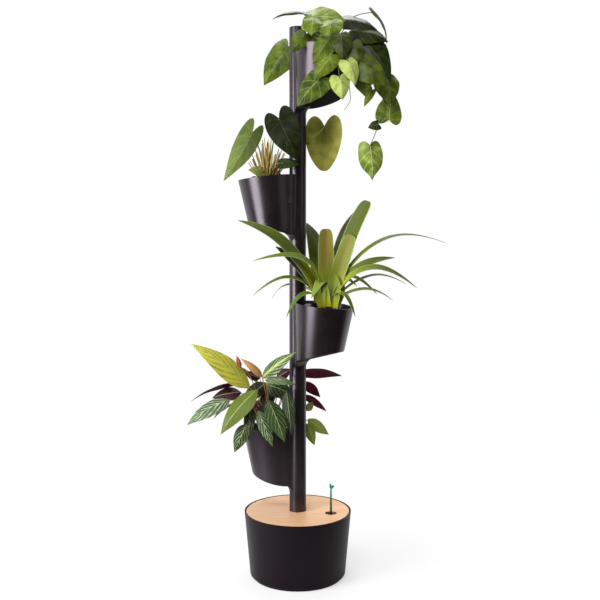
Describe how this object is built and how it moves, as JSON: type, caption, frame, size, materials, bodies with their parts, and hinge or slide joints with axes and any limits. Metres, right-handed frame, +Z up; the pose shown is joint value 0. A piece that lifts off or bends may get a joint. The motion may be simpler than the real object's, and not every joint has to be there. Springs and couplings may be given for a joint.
{
  "type": "vertical planter",
  "caption": "Standing tower planter: round water tank with a wooden lid, a post of stacked pot modules that turn, a water level stick, and leafy plants in the pots.",
  "frame": {"origin": "centre of the tank's foot, on the floor", "axes": "+Z up along the post, -Y to the front of the picture, +X to the right"},
  "size_m": [0.7708, 0.3579, 1.7384],
  "materials": {
    "black_plastic": "satin moulded black plastic",
    "lid_wood": "pale oiled wood",
    "green_plastic": "moulded green plastic",
    "white_plastic": "plain white plastic",
    "grey_plastic": "plain grey plastic",
    "black_rubber": "plain rubber",
    "steel": "bright screws",
    "potting_mix": "crumbly dark potting mix",
    "trailing_leaf": "glossy heart-shaped leaves",
    "broad_leaf": "leathery dark leaves and cut stems",
    "strap_leaf": "smooth strap leaves, yellow-green at the foot",
    "patterned_leaf": "patterned leaves, wine red below"
  },
  "bodies": {
    "base": {"tank": "black_plastic", "fill_well": "grey_plastic", "post_base": "black_plastic", "riser_elbow": "grey_plastic", "pump_body": "black_plastic", "pump_cover": "black_plastic", "pump_hose": "black_rubber", "power_socket": "black_plastic", "socket_nut": "steel", "pump_cable": "black_rubber", "base_screw_1": "steel", "base_screw_2": "steel", "base_screw_3": "steel", "base_screw_4": "steel"},
    "impeller": {"impeller": "white_plastic"},
    "lid": {"lid_panel": "lid_wood"},
    "level": {"level_float": "white_plastic", "level_stick": "green_plastic"},
    "module_4": {"pot_4": "black_plastic", "seal_ring_4": "black_rubber", "strainer_4": "grey_plastic", "riser_4": "grey_plastic", "dripper_4": "black_plastic", "soil_4": "potting_mix", "plant_4": "patterned_leaf"},
    "module_3": {"pot_3": "black_plastic", "seal_ring_3": "black_rubber", "strainer_3": "grey_plastic", "riser_3": "grey_plastic", "dripper_3": "black_plastic", "soil_3": "potting_mix", "plant_3": "strap_leaf"},
    "module_2": {"pot_2": "black_plastic", "seal_ring_2": "black_rubber", "strainer_2": "grey_plastic", "riser_2": "grey_plastic", "dripper_2": "black_plastic", "soil_2": "potting_mix", "plant_2": "broad_leaf"},
    "module_1": {"pot_1": "black_plastic", "seal_ring_1": "black_rubber", "strainer_1": "grey_plastic", "riser_1": "grey_plastic", "dripper_1": "black_plastic", "soil_1": "potting_mix", "plant_1": "trailing_leaf", "riser_plug": "grey_plastic"},
    "cap": {"top_cap": "black_plastic"}
  },
  "joints": [
    {"name": "impeller_spin", "type": "hinge", "parent": "base", "child": "impeller", "pos_m": [-0.096, -0.0145, 0.032], "axis": [0, 1, 0], "continuous": true},
    {"name": "lid_lift", "type": "slide", "parent": "base", "child": "lid", "axis": [0, 0, 1], "range_m": [0, 0.055]},
    {"name": "level_slide", "type": "slide", "parent": "base", "child": "level", "axis": [0, 0, 1], "range_m": [-0.09, 0]},
    {"name": "pot_4_turn", "type": "hinge", "parent": "base", "child": "module_4", "pos_m": [0, 0, 0.116], "axis": [0, 0, 1], "range_deg": [-180, 180]},
    {"name": "pot_3_turn", "type": "hinge", "parent": "module_4", "child": "module_3", "pos_m": [0, 0, 0.504], "axis": [0, 0, 1], "range_deg": [-180, 180], "deforming": ["plant_4"]},
    {"name": "pot_2_turn", "type": "hinge", "parent": "module_3", "child": "module_2", "pos_m": [0, 0, 0.892], "axis": [0, 0, 1], "range_deg": [-180, 180], "deforming": ["plant_3"]},
    {"name": "pot_1_turn", "type": "hinge", "parent": "module_2", "child": "module_1", "pos_m": [0, 0, 1.28], "axis": [0, 0, 1], "range_deg": [-180, 180], "deforming": ["plant_2", "plant_1"]},
    {"name": "cap_lift", "type": "slide", "parent": "module_1", "child": "cap", "axis": [0, 0, 1], "range_m": [0, 0.021]}
  ]
}
